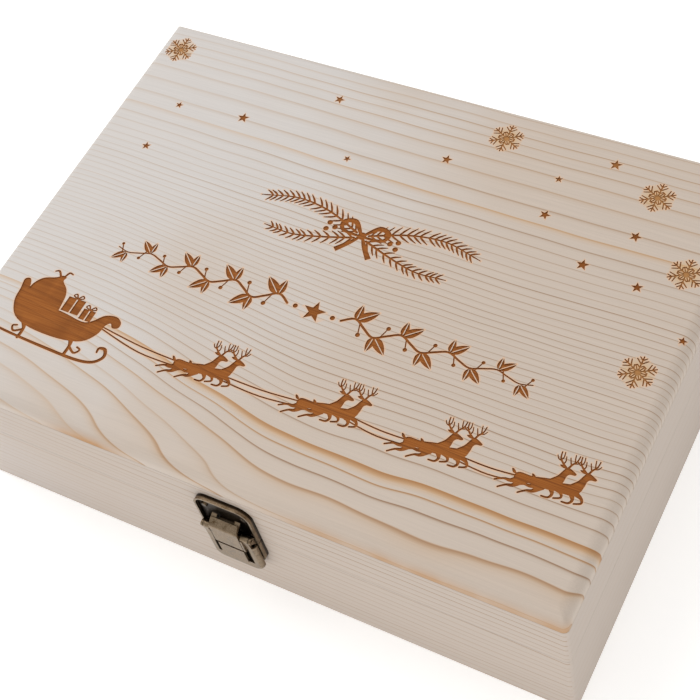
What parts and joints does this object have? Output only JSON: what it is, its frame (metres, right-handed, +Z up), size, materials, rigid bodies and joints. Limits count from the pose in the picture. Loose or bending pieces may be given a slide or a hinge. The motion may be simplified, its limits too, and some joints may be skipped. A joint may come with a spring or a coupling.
{
  "type": "keepsake box",
  "caption": "Shallow rectangular pine box with a hinged lid, mitred corners, a rounded top panel and a bronze toggle latch in the middle of the front.",
  "frame": {"origin": "middle of the underside of the base", "axes": "+X to the right along the front, +Y from the latch to the hinges, +Z up"},
  "size_m": [0.3, 0.2307, 0.09],
  "materials": {
    "pine_board": "sanded bare pine",
    "pine_panel": "sanded bare pine with a burnt engraving",
    "plywood": "bare plywood",
    "latch_bronze": "antique bronze, worn bright on the edges",
    "hinge_bronze": "antique bronze",
    "screw_bronze": "dark antique bronze"
  },
  "bodies": {
    "base": {"base_front_wall": "pine_board", "base_back_wall": "pine_board", "base_left_wall": "pine_board", "base_right_wall": "pine_board", "base_bottom_panel": "plywood", "left_hinge_base_leaf": "hinge_bronze", "right_hinge_base_leaf": "hinge_bronze", "left_hinge_pin": "hinge_bronze", "right_hinge_pin": "hinge_bronze", "hinge_base_screws": "screw_bronze", "latch_base_plate": "latch_bronze", "latch_base_screws": "screw_bronze", "latch_lever_pin": "latch_bronze"},
    "lid": {"lid_front_rail": "pine_board", "lid_back_rail": "pine_board", "lid_left_rail": "pine_board", "lid_right_rail": "pine_board", "lid_top_panel": "pine_panel", "left_hinge_lid_leaf": "hinge_bronze", "right_hinge_lid_leaf": "hinge_bronze", "hinge_lid_screws": "screw_bronze", "latch_strike_plate": "latch_bronze", "latch_strike_screws": "screw_bronze"},
    "latch_lever": {"latch_lever": "latch_bronze", "latch_link_pin": "latch_bronze"},
    "latch_link": {"latch_link": "latch_bronze"}
  },
  "joints": [
    {"name": "lid_hinge", "type": "hinge", "parent": "base", "child": "lid", "pos_m": [0, 0.11225, 0.0521], "axis": [-1, 0, 0], "range_deg": [0, 180]},
    {"name": "lever_flip", "type": "hinge", "parent": "base", "child": "latch_lever", "pos_m": [0, -0.1144, 0.0561], "axis": [-1, 0, 0], "range_deg": [0, 90]},
    {"name": "link_swing", "type": "hinge", "parent": "latch_lever", "child": "latch_link", "pos_m": [0, -0.1149, 0.0475], "axis": [-1, 0, 0], "range_deg": [-90, 0]}
  ],
  "couplings": [
    {"joint": "link_swing", "follows": "lever_flip", "ratio": -1}
  ]
}
